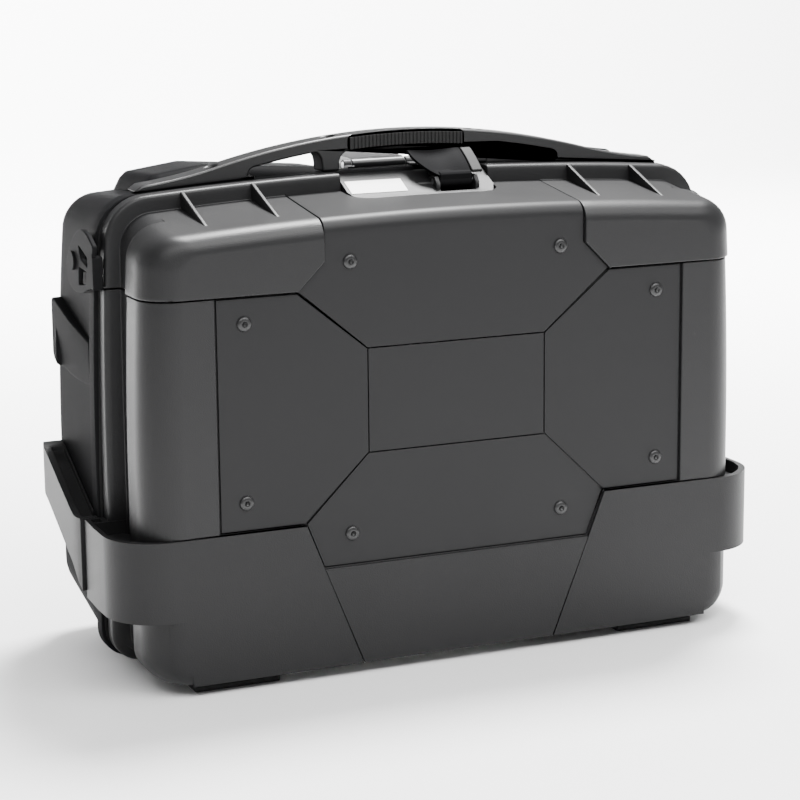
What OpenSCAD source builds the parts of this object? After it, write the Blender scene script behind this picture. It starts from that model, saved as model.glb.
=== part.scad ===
// Hard side case for a motorcycle: base shell on the bike's side, front lid hinged
// along its lower edge, and an upper flap hinged on the lid. All sizes in millimetres.
// X runs along the case, Y from the front face to the bike, Z up. The origin is the
// centre of the case's footprint, on the floor. Depths d are measured from the front.

/* [Overall] */
// Depth from the front face to the back pads
case_d = 222; // [216:1:230]
// Half width of the lid at its sides
lid_w = 241.5; // [236:0.5:243]
// Half width of the base at its sides
base_w = 248; // [246:0.5:249]
// Height of the flange crown at the middle of the case
crown_z = 361.5; // [356:0.5:366]
// Depth of the split between lid and base
split_d = 92; // [90:0.5:94]
// Wall thickness of the moulded shells
wall = 3; // [2.5:0.1:3.5]

/* [Front panels] */
// Depth of the front skin in front of the metal panels
panel_d = 3; // [2.5:0.1:3.2]
// Thickness of the metal panels
panel_t = 2; // [1.5:0.1:2]
// Half width of the centre panel
centre_w = 71; // [66:0.5:74]
// Height of the middle of the centre panel
centre_z = 205; // [203:0.5:207]
// Half height of the centre panel
centre_h = 38.5; // [36:0.5:39]
// Half width of the panel field
field_w = 186; // [182:0.5:188]
// Gap between neighbouring panels
panel_gap = 1; // [0.8:0.1:1.4]
// Radius of a screw head
head_r = 5.5; // [5:0.1:6]

/* [Flap and lid joints] */
// Height of the seam between flap and lid at the sides
seam_z = 288; // [286:0.5:290]
// Gap between parts that move against each other
part_gap = 1; // [0.8:0.1:1.2]
// Depth of the flap's hinge axis
flap_axis_d = 14; // [13.5:0.5:15]
// Height of the flap's hinge axis
flap_axis_z = 220; // [218:0.5:221]
// Height of the lid's hinge axis
lid_axis_z = 5.5; // [5:0.1:6]
// Radius of the hinge pins
pin_r = 2.5; // [2:0.1:2.8]
// Radial clearance of a pin in its bore
run_fit = 0.05; // [0.02:0.01:0.1]

/* [Handle and bumpers] */
// Height of the top of the handle's arch
handle_z = 389.5; // [386:0.5:392]
// Radius of the handle's arch
handle_r = 560; // [540:5:600]
// Half width over the lid's corner bumpers
bumper_w = 262.5; // [258:0.5:264]
// Half width over the base bumpers
side_bumper_w = 265; // [262:0.5:266]
// Height of the bumpers' upper edge
bumper_top = 117; // [115:0.5:119]
// Height of the bumpers' lower edge
bumper_low = 57.5; // [56:0.5:60]

/* [Docking] */
// Radius of a rack socket's bore
socket_r = 8.5; // [8:0.1:9]
// Depth of a rack socket's bore
socket_len = 18; // [16:0.5:19]
// Half distance between the rack sockets
socket_x = 110; // [100:1:120]
// Height of the rack sockets
socket_z = 95; // [90:1:100]

/* [Hidden] */

plastic = [0.13, 0.13, 0.135];
panel_paint = [0.2, 0.2, 0.21];
rubber = [0.07, 0.07, 0.07];
steel = [0.62, 0.63, 0.65];

crown_r = 2667;
flange_w = lid_w + 4.5;
base_flange_w = base_w + 2;
floor_z = 10;
top_z = crown_z - 16;
back_d = case_d - 7;
dock_d = case_d - 4;
back_split_z = 250;
// rise of the base's underside towards the back
under_rise = 22;
rim_gap = part_gap / 2;
screw_r = 3;
foot_top = 16;
lid_axis_d = split_d;
knuckle_r = 4.5;
// lock lever pivot
latch_d = 70;
latch_z = 352;
// release lever pivot and bolt position
release_d = 150;
release_z = 358.5;
bolt_d = 199;
bolt_r = 5;
// side hook pivot
hook_d = 126;
hook_z = 303;
hook_x = 248.3;
hook_t = 3.7;
key_x = 36.5;
key_d = 132;
key_r = 8;

function yd(d) = d - case_d / 2;
function arc(cx, cz, r, a0, a1, n) =
    [for (i = [0:n]) let (a = a0 + (a1 - a0) * i / n) [cx + r * cos(a), cz + r * sin(a)]];
function crown(x, zt) = zt - x * x / (2 * crown_r);
function mirror_x(p) = [for (i = [len(p) - 1:-1:0]) [-p[i][0], p[i][1]]];

// Outline of a cross-section in the X-Z plane: w is the half width low down, wt the half
// width at the top corners, z0 the underside, zt the crown, rt and rb the corner radii.
function section(w, wt, z0, zt, rt, rb) =
    let (corner = crown(wt - rt, zt) - rt,
         half = concat(arc(w - rb, z0 + rb, rb, -90, 0, 5), [[w, 150]],
                       arc(wt - rt, corner, rt, 4, 86, 6),
                       [for (k = [3:-1:1]) let (x = (wt - rt) * k / 4) [x, crown(x, zt)]]))
    concat(half, mirror_x(half));

module at_depth(d0, d1) {
    translate([0, yd(d1), 0]) rotate([90, 0, 0]) linear_extrude(d1 - d0) children();
}

// A convex skin through sections given as [depth, w, wt, z0, zt, rt, rb]
module skin(rows) {
    hull() for (s = rows) at_depth(s[0], s[0] + 0.02)
        polygon(section(s[1], s[2], s[3], s[4], s[5], s[6]));
}

module box(x0, x1, d0, d1, z0, z1) {
    translate([x0, yd(d0), z0]) cube([x1 - x0, d1 - d0, z1 - z0]);
}

module along_y(x, z, r, d0, d1) {
    translate([x, yd(d1), z]) rotate([90, 0, 0]) cylinder(h = d1 - d0, r = r, $fn = 48);
}

module along_x(d, z, r, x0, x1) {
    translate([x0, yd(d), z]) rotate([0, 90, 0]) cylinder(h = x1 - x0, r = r, $fn = 48);
}

module along_z(x, d, r, z0, z1) {
    translate([x, yd(d), z0]) cylinder(h = z1 - z0, r = r, $fn = 48);
}

// A prism whose outline is drawn as [depth, height] points and extruded along X
module side_plate(x0, x1, pts) {
    translate([x0, 0, 0]) rotate([90, 0, 90]) linear_extrude(x1 - x0)
        polygon([for (p = pts) [yd(p[0]), p[1]]]);
}

// A prism whose outline is drawn as [x, depth] points and extruded upwards
module plan_plate(z0, z1, pts) {
    translate([0, 0, z0]) linear_extrude(z1 - z0)
        polygon([for (p = pts) [p[0], yd(p[1])]]);
}

module both_sides() {
    children();
    mirror([1, 0, 0]) children();
}

// ---- shared forms of lid and flap ----

module front_body(grow) {
    w = lid_w + grow;
    wt = lid_w - 5 + grow;
    low = floor_z - 2 - grow;
    skin([[-grow, w - 28, wt - 24, low + 5, crown_z - 35 + grow, 14, 14],
          [3.75 - grow, w - 14, wt - 14, low + 1, crown_z - 25.5 + grow, 18, 18],
          [14 - grow, w - 4, wt - 4, low, crown_z - 21 + grow, 23, 20],
          [28, w, wt, low, crown_z - 19 + grow, 26, 22],
          [50 + grow, w, wt, low, top_z + grow, 26, 22]]);
    skin([[49, w - 9, wt - 5, low, top_z + grow, 24, 20],
          [80, w - 9, wt - 5, low, top_z + 4 + grow, 26, 20]]);
}

module front_cavity() {
    w = lid_w - 12;
    wt = lid_w - 13;
    skin([[8, w - 18, wt - 18, floor_z + 5, crown_z - 33, 14, 16],
          [20, w, wt, floor_z + 1, crown_z - 24, 20, 18],
          [split_d + 1, w, wt, floor_z + 1, top_z, 22, 18]]);
}

module flange_outline(inset) {
    polygon(section(flange_w - inset, flange_w - 4 - inset, floor_z - 2 + inset,
                    crown_z - inset, 35 - inset, 22));
}

module front_shell() {
    difference() {
        union() {
            front_body(0);
            at_depth(78, split_d - rim_gap) flange_outline(0);
        }
        front_cavity();
        at_depth(81, split_d) difference() {
            flange_outline(wall);
            polygon(section(lid_w - 9, lid_w - 10, floor_z - 2, top_z + 5, 24, 20));
        }
        panel_field(panel_d + panel_t + 0.1, 0);
    }
}

// The recess that the metal panels lie in, and the outline of the panels themselves
module panel_field(depth, inset) {
    e = inset;
    at_depth(-5, depth) polygon([
        [-104 + e, 500], [-104 + e, 309], [-125 + e, seam_z], [-field_w + e, seam_z - 0.5 - e],
        [-field_w + e, 118 + e], [-120.5 + e, 117.5 + e], [-107.5 + e, 84 + e],
        [107.5 - e, 84 + e], [120.5 - e, 117.5 + e], [field_w - e, 118 + e],
        [field_w - e, seam_z - 0.5 - e], [125 - e, seam_z], [104 - e, 309], [104 - e, 500]]);
}

// Everything above the seam between flap and lid, shifted up by g at the sides and by h
// in the middle
module flap_zone(g, h) {
    at_depth(-5, split_d + 2) polygon([
        [-400, seam_z + g], [-125, seam_z + g],
        [-centre_w, centre_z + centre_h + h], [centre_w, centre_z + centre_h + h],
        [125, seam_z + g], [400, seam_z + g], [400, 500], [-400, 500]]);
}

// Cut-out in the flap's flange and ledge for the lock
module console_bay(g) {
    plan_plate(crown_z - 27, crown_z + 20,
        [[-60 - g, 93], [-60 - g, 66], [-55 - g, 56 - g], [-44, 50 - g], [44, 50 - g],
         [55 + g, 56 - g], [60 + g, 66], [60 + g, 93]]);
}

// ---- base ----

module base_skin(grow, rear) {
    w = base_w + grow;
    skin([[103, w, w - 8, floor_z - grow, top_z + 12 + grow, 34, 28],
          [rear - 20, w, w - 8, floor_z + under_rise - grow, crown_z - 12 + grow, 34, 28],
          [rear - 6, w - 6, w - 14, floor_z + under_rise + 6 - grow, crown_z - 17 + grow, 34, 30],
          [rear, w - 20, w - 28, floor_z + under_rise + 20 - grow, crown_z - 31 + grow, 30, 30]]);
}

// Bulges on top of the base, over the inside's corners
module hump(inset) {
    intersection() {
        side_plate(42 + inset, 199 - inset, [[116, 330], [122 + inset, 362 - inset],
            [128 + inset, 367.5 - inset], [184 - inset, 364 - inset],
            [198 - inset, 358 - inset], [206 - inset, 330]]);
        at_depth(110, 210) polygon([[45, 330], [47 + inset, 360 - inset], [56, 361 - inset],
            [150, 367.5 - inset], [176, 365 - inset], [192 - inset, 360 - inset], [199, 330]]);
    }
}

module base_flange(inset) {
    i = inset;
    polygon(section(base_flange_w - i, base_flange_w - 5 - i, floor_z - 2 + i,
                    crown_z - i, 35 - i, 22));
}

// The base's walls; its back wall is two nodes of its own, with and without the sockets
module base_shell() {
    color(plastic) difference() {
        base_moulding();
        box(-300, 300, back_d - 9, case_d, 0, 400);
    }
}

module base_back_zone(z0, z1) {
    color(plastic) intersection() {
        base_moulding();
        box(-300, 300, back_d - 9, case_d, z0, z1);
    }
}

module base_back() base_back_zone(0, back_split_z);
module base_back_top() base_back_zone(back_split_z, 400);

module base_moulding() {
    difference() {
        union() {
            difference() {
                union() {
                    base_skin(0, back_d);
                    at_depth(split_d + rim_gap, 106) base_flange(0);
                    both_sides() difference() {
                        hump(0);
                        box(0, 300, 100, 220, 300, 345);
                    }
                    both_sides() side_wing();
                    both_sides() along_x(hook_d, hook_z, 9, base_w - 14, hook_x - 0.3);
                }
                base_skin(-wall, back_d - wall);
                both_sides() hump(wall);
                at_depth(split_d - 1, 108) polygon(section(base_w - wall, base_w - 8 - wall,
                    floor_z + wall, top_z + 9, 32, 24));
                hinge_cut();
            }
            base_knuckles();
            // tub under the latch's notch
            box(3, 43, split_d + rim_gap, 108, crown_z - 15.5, crown_z - 5);
        }
        gasket_form(2.2, 4.6);
        // notch for the latch's hook and its keeper
        box(6, 40, split_d - 1, 105, crown_z - 12, crown_z + 3);
        // opening for the rack's striker, and the bolt's guide above it
        box(-31.6, 31.6, back_d - 10, case_d, 268.4, 313.6);
        along_z(0, bolt_d, bolt_r + 0.5, 320, crown_z + 5);
        along_z(key_x, key_d, key_r + 0.05, 335, crown_z + 10);
        for (s = [-1, 1]) {
            along_y(s * socket_x, socket_z, 14.05, back_d - 10, case_d);
            along_x(hook_d, hook_z, 4.05, s * base_w - 20, s * base_w + 20);
        }
        for (p = dock_screw_at) along_y(p[0], p[1], screw_r, back_d - 10, case_d);
        for (x = handle_screw_x) along_z(x, 103, 2.5, 335, 370);
        along_x(lid_axis_d, lid_axis_z, pin_r + run_fit, -260, 260);
    }
}

// Raised pad on the base's side, below the hook
module side_wing() {
    difference() {
        side_plate(base_w - 9, base_w + 3, [[107, 244], [192, 266], [197, 262], [197, 220],
                                            [190, 214], [150, 214], [107, 222]]);
        side_plate(base_w + 1, base_w + 7, [[100, 200], [100, 270], [125, 270], [140, 200]]);
    }
}

dock_screw_at = [for (x = [-140, 140], z = [70, 190, 310]) [x, z]];
handle_screw_x = [-152, -61, 61, 152];
knuckle_x = [[-196, -172], [-148, -124], [124, 148], [172, 196]];

// Slots in the lower flanges that make room for the hinge knuckles
module hinge_cut() {
    for (s = [-1, 1]) box(s * 160 - 38, s * 160 + 38, split_d - 6.5, split_d + 6.5,
                          -1, lid_axis_z + 6.5);
}

module base_knuckles() {
    for (k = knuckle_x) {
        along_x(lid_axis_d, lid_axis_z, knuckle_r, k[0], k[1]);
        box(k[0], k[1], split_d, 110, 2.5, 7.5);
        box(k[0], k[1], 98, 110, 5, floor_z + 1);
    }
}

// Ring in the base's flange that the gasket fills, set in from the flange's edge
module gasket_form(inset, depth) {
    at_depth(split_d - 0.5, split_d + depth) difference() {
        base_flange(inset);
        base_flange(inset + 1.8);
    }
}

module base_gasket() {
    color(rubber) difference() {
        gasket_form(2.2, 4.6);
        box(-300, 300, 0, split_d + 0.2, 0, 400);
        box(3, 43, split_d - 2, 100, 340, 380);
    }
}

// Bumper on the base's side, with its upper edge rising to the back
module side_bumper() {
    w = side_bumper_w;
    difference() {
        intersection() {
            side_plate(225, w + 1, [[split_d + 1, bumper_low + 2], [split_d + 1, bumper_top],
                [106, bumper_top], [183, 154], [196, 152], [205, 140], [205, 124],
                [176, 113], [110, 80]]);
            plan_plate(0, 200, concat([[225, split_d], [w - 1.5, split_d], [w, 110]],
                [for (a = [0:15:75]) [w - 24 + 24 * cos(a), 181 + 24 * sin(a)]], [[225, 206]]));
        }
        base_skin(0.3, back_d + 0.5);
        at_depth(split_d - 1, 106.3) base_flange(-0.3);
        side_plate(base_w - 5, w - 4, [[112, 86], [112, bumper_top - 8],
            [176, 139], [184, 137], [184, 122]]);
    }
}

module side_bumper_left() { color(plastic) mirror([1, 0, 0]) side_bumper(); }
module side_bumper_right() { color(plastic) side_bumper(); }

// ---- handle ----

// Height of the handle's top edge: an arch that flattens out over its feet
function arch(x, drop) = let (a = abs(x), t = max(a - 150, 0))
    handle_z - drop - a * a / (2 * handle_r) + t * t * 0.0023;

module handle() {
    top = concat([[-213, 355]], [for (x = [-204:12:204]) [x, arch(x, 0)]], [[213, 355]]);
    color(plastic) difference() {
        at_depth(split_d + 1, split_d + 22) polygon(concat(top,
            [for (x = [213:-35.5:-213]) [x, crown(x, crown_z) + 0.2]]));
        // finger window and the two side windows
        at_depth(split_d, split_d + 23) polygon(concat(
            [[-53, 350], [-53, 371], [-50, 374]],
            [for (x = [-45:15:45]) [x, arch(x, 13)]], [[50, 374], [53, 371], [53, 350]]));
        both_sides() at_depth(split_d, split_d + 23) polygon(concat(
            [[68, 350], [68, arch(68, 10)]],
            [for (x = [80:15:110]) [x, arch(x, 9.5)]],
            [[125, 365], [126.5, 363], [121, 360.5], [117, 350]]));
        for (x = handle_screw_x) along_z(x, 103, 2.5, 350, 400);
        for (x = handle_screw_x) along_z(x, 103, 4.6, arch(x, 0) - 5.5, 400);
        grip_shape(0.05);
    }
}

// Ribbed soft sleeve over the front and top of the grip
module grip_shape(g) {
    at_depth(split_d, split_d + 3 + g) polygon(concat(
        [for (x = [-46:11.5:46]) [x, arch(x, 2 - g)]],
        [for (x = [46:-11.5:-46]) [x, arch(x, 11 + g)]]));
}

module handle_grip() {
    color(rubber) difference() {
        grip_shape(0);
        for (x = [-43.5:3:43.5]) box(x, x + 1.2, split_d - 1, split_d + 0.8, 370, 400);
    }
}

module handle_screws() {
    color(steel) for (x = handle_screw_x) {
        along_z(x, 103, 2.4, 338, arch(x, 4));
        along_z(x, 103, 4.5, arch(x, 5.5), arch(x, 3));
    }
}

// ---- lock ----

module keeper() {
    color(steel) {
        box(10, 36, 95, 97.5, crown_z - 11.5, crown_z - 4.5);
        box(10, 36, 95, 104.5, crown_z - 11.95, crown_z - 10);
    }
}

module key_cylinder() {
    color(steel) difference() {
        union() {
            along_z(key_x, key_d, key_r, 328, 357);
            along_z(key_x, key_d, key_r + 1.5, 356, 359);
        }
        along_z(key_x, key_d, 5 + run_fit, 320, 362);
    }
}

module key_plug() {
    color([0.7, 0.65, 0.5]) difference() {
        union() {
            along_z(key_x, key_d, 5, 325, 359.5);
            box(key_x - 2.5, key_x + 12, key_d - 3, key_d + 3, 322, 325);
        }
        box(key_x - 0.6, key_x + 0.6, key_d - 3.6, key_d + 3.6, 345, 360);
    }
}

// ---- side hooks ----

module hook_pins() {
    color(steel) both_sides() {
        along_x(hook_d, hook_z, 4, base_w - 14, hook_x + hook_t + 0.4);
        along_x(hook_d, hook_z, 7, hook_x + hook_t + 0.2, hook_x + hook_t + 2);
    }
}

module side_hook() {
    difference() {
        union() {
            side_plate(hook_x, hook_x + hook_t, [[79, 288], [79, 312], [74, 319], [88, 326],
                [98, 329], [110, 328], [122, 323], [134, 314], [144, 303], [147, 296],
                [144, 288], [136, 282.5], [126, 280], [108, 281]]);
            side_plate(244.2, hook_x + hook_t, [[76, 288], [76, 311], [86, 311], [86, 288]]);
        }
        along_x(hook_d, hook_z, 4.05, hook_x - 1, hook_x + 5);
        side_plate(hook_x - 1, hook_x + 5, [[111, 316], [93, 304], [111, 306.5]]);
        side_plate(hook_x - 1, hook_x + 5, [[92, 298], [96, 290], [113, 287.5], [111, 299]]);
    }
}

module side_hook_left() { color(plastic) mirror([1, 0, 0]) side_hook(); }
module side_hook_right() { color(plastic) side_hook(); }

// ---- docking gear at the back ----

module dock_outline() {
    difference() {
        at_depth(back_d + 0.05, dock_d) polygon([[-150, 70], [-140, 60], [140, 60], [150, 70],
            [150, 310], [140, 320], [-140, 320], [-150, 310]]);
        box(-26, 26, back_d - 1, case_d, 270, 310);
        for (s = [-1, 1]) along_y(s * socket_x, socket_z, 14.05, back_d - 1, case_d);
        for (p = dock_screw_at) along_y(p[0], p[1], screw_r + 0.2, back_d - 1, case_d);
    }
}

module dock_plate() {
    color(plastic) intersection() {
        dock_outline();
        box(-200, 200, back_d, case_d, 0, back_split_z);
    }
}

// Steel plate round the opening for the rack's striker
module striker_frame() {
    color(steel) intersection() {
        dock_outline();
        box(-200, 200, back_d, case_d, back_split_z + part_gap, 400);
    }
}

module dock_screws() {
    color(steel) for (p = dock_screw_at) {
        along_y(p[0], p[1], screw_r - 0.1, back_d - 9, dock_d);
        along_y(p[0], p[1], 5, dock_d, dock_d + 2.5);
    }
}

module rack_socket(s) {
    color(steel) difference() {
        union() {
            along_y(s * socket_x, socket_z, 14, dock_d - socket_len - 3, dock_d);
            along_y(s * socket_x, socket_z, 17, back_d - wall - 2.5, back_d - wall - 0.1);
        }
        along_y(s * socket_x, socket_z, socket_r, dock_d - socket_len, case_d);
    }
}

module rack_socket_left() rack_socket(-1);
module rack_socket_right() rack_socket(1);

// Pocket behind the back wall that takes the rack's striker, with the bolt's guide
module bolt_guide() {
    color(plastic) difference() {
        box(-31.5, 31.5, 187, back_d - 0.1, 268.5, 313.5);
        box(-26, 26, 190, case_d, 271, 310);
        along_z(0, bolt_d, bolt_r + run_fit, 305, 320);
    }
}

module dock_bolt() {
    color(steel) {
        along_z(0, bolt_d, bolt_r, 298, 352);
        along_z(0, bolt_d, 7, 315, 317.5);
        along_z(0, bolt_d, 3, 351, 359);
        along_x(bolt_d, 359, 2.2, -10, 10);
    }
}

module bolt_spring() {
    color(steel) for (k = [0:5]) translate([0, yd(bolt_d), 318.3 + k * 4.3])
        rotate_extrude($fn = 48) translate([6.1, 0]) circle(0.6, $fn = 16);
}

module release_bracket() {
    color(plastic) difference() {
        for (s = [-1, 1]) {
            box(s * 26 - 3, s * 26 + 3, 139, 161, 350.5, release_z);
            along_x(release_d, release_z, 4.2, s * 26 - 3, s * 26 + 3);
        }
        along_x(release_d, release_z, pin_r - 0.02, -30, 30);
        base_skin(0.05, back_d);
    }
}

module release_pin() {
    color(steel) along_x(release_d, release_z, pin_r - 0.02, -29, 29);
}

// Paddle that lifts the docking bolt by a cross bar in its slot
module release_lever() {
    color(plastic) difference() {
        union() {
            along_x(release_d, release_z, 4.2, -22, 22);
            side_plate(-22, 22, [[146.5, 357], [148, 361.5], [152, 363.3], [200, 363.5],
                [211, 362], [215, 358], [214.5, 355], [150, 355]]);
        }
        along_x(release_d, release_z, pin_r + run_fit, -30, 30);
        box(-12, 12, bolt_d - 5, bolt_d + 6, 356.6, 361.4);
        box(-3.8, 3.8, bolt_d - 5, bolt_d + 6, 340, 361.4);
    }
}

// ---- feet and pads ----

module foot(x0, x1, d0, d1) {
    box(x0, x1, d0, d1, 0, 4);
    box(x0 + 3, x1 - 3, d0 + 2, d1 - 2, 3.9, floor_z - 2.05);
}

module rear_feet() {
    color(rubber) both_sides() {
        foot(135, 205, 166, 186);
        difference() {
            box(140, 200, 169, 183, 7, floor_z + under_rise);
            base_skin(0.05, back_d);
        }
    }
}

module front_feet() { color(rubber) both_sides() foot(140, 205, 12, 34); }

module rear_pads() {
    color(rubber) for (x = [-172, 172], z = [150, 290]) along_y(x, z, 12, back_d + 0.05, case_d);
}

module lid_hinge_pins() {
    color(steel) for (s = [-1, 1])
        along_x(lid_axis_d, lid_axis_z, pin_r, s * 160 - 37, s * 160 + 37);
}

// ---- lower lid ----

module lid_shell() {
    color(plastic) difference() {
        union() {
            difference() {
                front_shell();
                flap_zone(-rim_gap, -rim_gap);
                // the skirt and the bumpers lie on this lower front face
                at_depth(-5, panel_d + 0.1) polygon([[-232, 0], [-232, bumper_top + 0.2],
                    [232, bumper_top + 0.2], [232, 0]]);
                hinge_cut();
            }
            intersection() {
                lid_knuckles();
                box(-260, 260, 60, split_d + 7, 0, 30);
            }
        }
        for (p = lid_screw_at) along_y(p[0], p[1], screw_r, 0, 10);
        along_x(lid_axis_d, lid_axis_z, pin_r + run_fit, -260, 260);
    }
}

module lid_knuckles() {
    for (s = [-1, 1]) {
        along_x(lid_axis_d, lid_axis_z, knuckle_r, s * 160 - 11.5, s * 160 + 11.5);
        box(s * 160 - 11.5, s * 160 + 11.5, 72, split_d, 2.5, 7.5);
        box(s * 160 - 11.5, s * 160 + 11.5, 72, 85, 5, floor_z + 1.5);
    }
}

lid_screw_at = [for (s = [-1, 1], p = [[165, 268.5], [166, 138.8], [85, 107.5]]) [s * p[0], p[1]]];
flap_screw_at = [[-84, 307.3], [84, 307.3]];

module panel_screws(places) {
    color(steel) for (p = places) {
        along_y(p[0], p[1], head_r, 0.9, panel_d);
        along_y(p[0], p[1], screw_r - 0.1, panel_d, 9.5);
    }
}

module panel(pts) {
    g = panel_gap / 2;
    color(panel_paint) difference() {
        at_depth(panel_d, panel_d + panel_t) polygon(pts);
        for (p = concat(lid_screw_at, flap_screw_at)) along_y(p[0], p[1], screw_r, 0, 10);
    }
}

function side_panel_points() = let (g = panel_gap / 2, c = centre_w + g, zt = centre_z + centre_h,
                                    zb = centre_z - centre_h)
    [[c, zb + g], [c, zt - g], [125, seam_z - 1.5], [field_w - 0.8, seam_z - 1.5],
     [field_w - 0.8, 119], [121.5, 119]];

module right_panel() panel(side_panel_points());
module left_panel() panel(mirror_x(side_panel_points()));

module centre_panel() {
    g = panel_gap / 2;
    panel([[-centre_w + g, centre_z - centre_h + g], [centre_w - g, centre_z - centre_h + g],
           [centre_w - g, centre_z + centre_h - g], [-centre_w + g, centre_z + centre_h - g]]);
}

module bottom_panel() {
    half = [[106.8, 85], [119.7, 118], [centre_w, centre_z - centre_h - panel_gap / 2]];
    panel(concat(half, mirror_x(half)));
}

module lid_screws() panel_screws(lid_screw_at);
module flap_screws() panel_screws(flap_screw_at);

// Corner bumper: a front plate and a hollow band round the lid's corner to the split
module corner_bumper() {
    r = 40;
    front = bumper_w - r;
    difference() {
        plan_plate(bumper_low, bumper_top, concat([[front - 4, 10], [front - 4, 0]],
            [for (a = [-90:10:0]) [front + r * cos(a), r + r * sin(a)]],
            [[bumper_w - 2, split_d - 1], [flange_w - 4, split_d - 1]]));
        front_body(0.4);
        at_depth(77.6, split_d) flange_outline(-0.4);
        // pocket under the upper edge, open to the top
        plan_plate(bumper_low + 6, bumper_top + 1, [[229, 9], [240, 15], [251, 26],
            [bumper_w - 3.5, 42], [bumper_w - 4.5, 74], [230, 74]]);
    }
    at_depth(0, panel_d - 0.05) polygon([[78.3, 8.5], [108.8, 84], [121.3, 117],
        [front - 2, bumper_top], [front - 2, 20], [216, 8.5]]);
}

module corner_bumper_left() { color(plastic) mirror([1, 0, 0]) corner_bumper(); }
module corner_bumper_right() { color(plastic) corner_bumper(); }

module front_skirt() {
    half = [[77.5, 8.5], [107.8, 83.5]];
    color(plastic) at_depth(0, panel_d) polygon(concat(half, mirror_x(half)));
}

// Brackets behind the front wall that carry the flap's hinge pins
module flap_hinge_brackets() {
    color(plastic) difference() {
        for (s = [-1, 1], e = [-1, 1]) {
            box(s * 50 + e * 11 - 3, s * 50 + e * 11 + 3, 8.1, 20, 211, 229);
        }
        along_x(flap_axis_d, flap_axis_z, pin_r - 0.02, -70, 70);
    }
}

module flap_hinge_pins() {
    color(steel) for (s = [-1, 1])
        along_x(flap_axis_d, flap_axis_z, pin_r - 0.02, s * 50 - 14.5, s * 50 + 14.5);
}

// ---- upper flap ----

module flap_shell() {
    color(plastic) difference() {
        union() {
            difference() {
                intersection() {
                    front_shell();
                    flap_zone(rim_gap, 2.5);
                }
                console_bay(0);
                // the hinge side swings outwards past the lid's front wall
                box(-80, 80, -5, 9, 200, centre_z + centre_h + 5);
            }
            both_sides() for (x = [129, 183]) side_plate(x - 1.3, x + 1.3,
                [[22, 334], [79.5, crown(x, crown_z) - 1], [79.5, 335], [40, 330]]);
        }
        for (p = flap_screw_at) along_y(p[0], p[1], screw_r, 0, 10);
        // the metal top panel lies flush in the ledge
        intersection() {
            box(-104, 104, 0, 77, 320, 400);
            difference() {
                box(-200, 200, -5, 100, 300, 400);
                top_panel_form(panel_t + 0.1);
            }
        }
    }
}

// The form that the top panel is bent over, sunk by t below its outer face
module top_panel_form(t) {
    w = lid_w;
    skin([[panel_d + t, w, w, 200, crown_z - 36 - t, 14, 14],
          [panel_d + 3.5 + t, w, w, 200, crown_z - 26.5 - t, 14, 14],
          [panel_d + 12, w, w, 200, crown_z - 21.5 - t, 14, 14],
          [100, w, w, 200, top_z + 6 - t, 14, 14]]);
}

module top_panel() {
    g = panel_gap / 2;
    color(panel_paint) difference() {
        intersection() {
            difference() {
                top_panel_form(0);
                top_panel_form(panel_t);
            }
            box(-103.2, 103.2, 0, 76.5, 240, 400);
            at_depth(0, 80) polygon([[-centre_w, centre_z + centre_h + g],
                [centre_w, centre_z + centre_h + g], [124, seam_z + 0.6], [103.2, 309.5],
                [103.2, 400], [-103.2, 400], [-103.2, 309.5], [-124, seam_z + 0.6]]);
        }
        console_bay(0.3);
        for (p = flap_screw_at) along_y(p[0], p[1], screw_r, 0, 10);
    }
}

// Goose-neck arms that carry the flap round the lid's front wall
module flap_hinge_arms() {
    color(plastic) difference() {
        for (s = [-1, 1]) {
            along_x(flap_axis_d, flap_axis_z, 5, s * 50 - 7, s * 50 + 7);
            side_plate(s * 50 - 7, s * 50 + 7, [[14, 215], [44, 216], [47.5, 222], [47.5, 246],
                [43, 256], [30, 266], [8.1, 270], [8.1, 259], [26, 257], [36, 250], [39, 243],
                [39, 225.5], [37, 225], [14, 225]]);
        }
        along_x(flap_axis_d, flap_axis_z, pin_r + run_fit, -70, 70);
    }
}

// Sloping floor of the lock bay, with ears for the latch pin
module lock_console() {
    color(plastic) difference() {
        union() {
            intersection() {
                side_plate(-59.5, 59.5, [[50.3, 338], [50.3, 341.5], [60, 345.5], [86, 358],
                    [91.3, 359], [91.3, 338]]);
                console_bay(-0.4);
            }
            for (x = [10.8, 43]) side_plate(x, x + 3, [[62, 344], [62, 351], [66, 355.8],
                [74, 355.8], [80, 352]]);
        }
        // hollow underneath, on both sides of the lever's well
        for (x = [[-54, 8], [48, 54]]) side_plate(x[0], x[1],
            [[56, 330], [56, 340.5], [60, 342.5], [86, 355], [88, 355], [88, 330]]);
        box(14, 42.8, 60, 95, 341, 400);
        along_x(latch_d, latch_z, pin_r - 0.02, 0, 47);
    }
}

module blank_label() {
    color("white") side_plate(-57, -12, [[63, 347.05], [78, 354.3], [78, 354.7], [63, 347.45]]);
}

module latch_pin() {
    color(steel) along_x(latch_d, latch_z, pin_r - 0.02, 11, 45.8);
}

// Lock lever: a scooped plate that pivots at its lower edge and is pulled forwards
module latch_lever() {
    color(plastic) difference() {
        union() {
            along_x(latch_d, latch_z, 5, 15, 41.5);
            intersection() {
                side_plate(-2, 41.5, [[66, 349], [64, 355], [78, 366], [86, 374],
                    [90, 374], [84, 364], [75, 355]]);
                at_depth(55, 95) polygon([[15, 347], [15, 357.6], [5, 359], [1, 367],
                    [-2, 375], [42, 375], [42, 347]]);
            }
        }
        along_x(latch_d, latch_z, pin_r + run_fit, 0, 60);
    }
}

module latch_grip() {
    color(rubber) side_plate(41.6, 50, [[65, 357.5], [80, 368], [87, 374], [89.5, 374],
        [84, 366], [76, 357.5]]);
}

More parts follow.
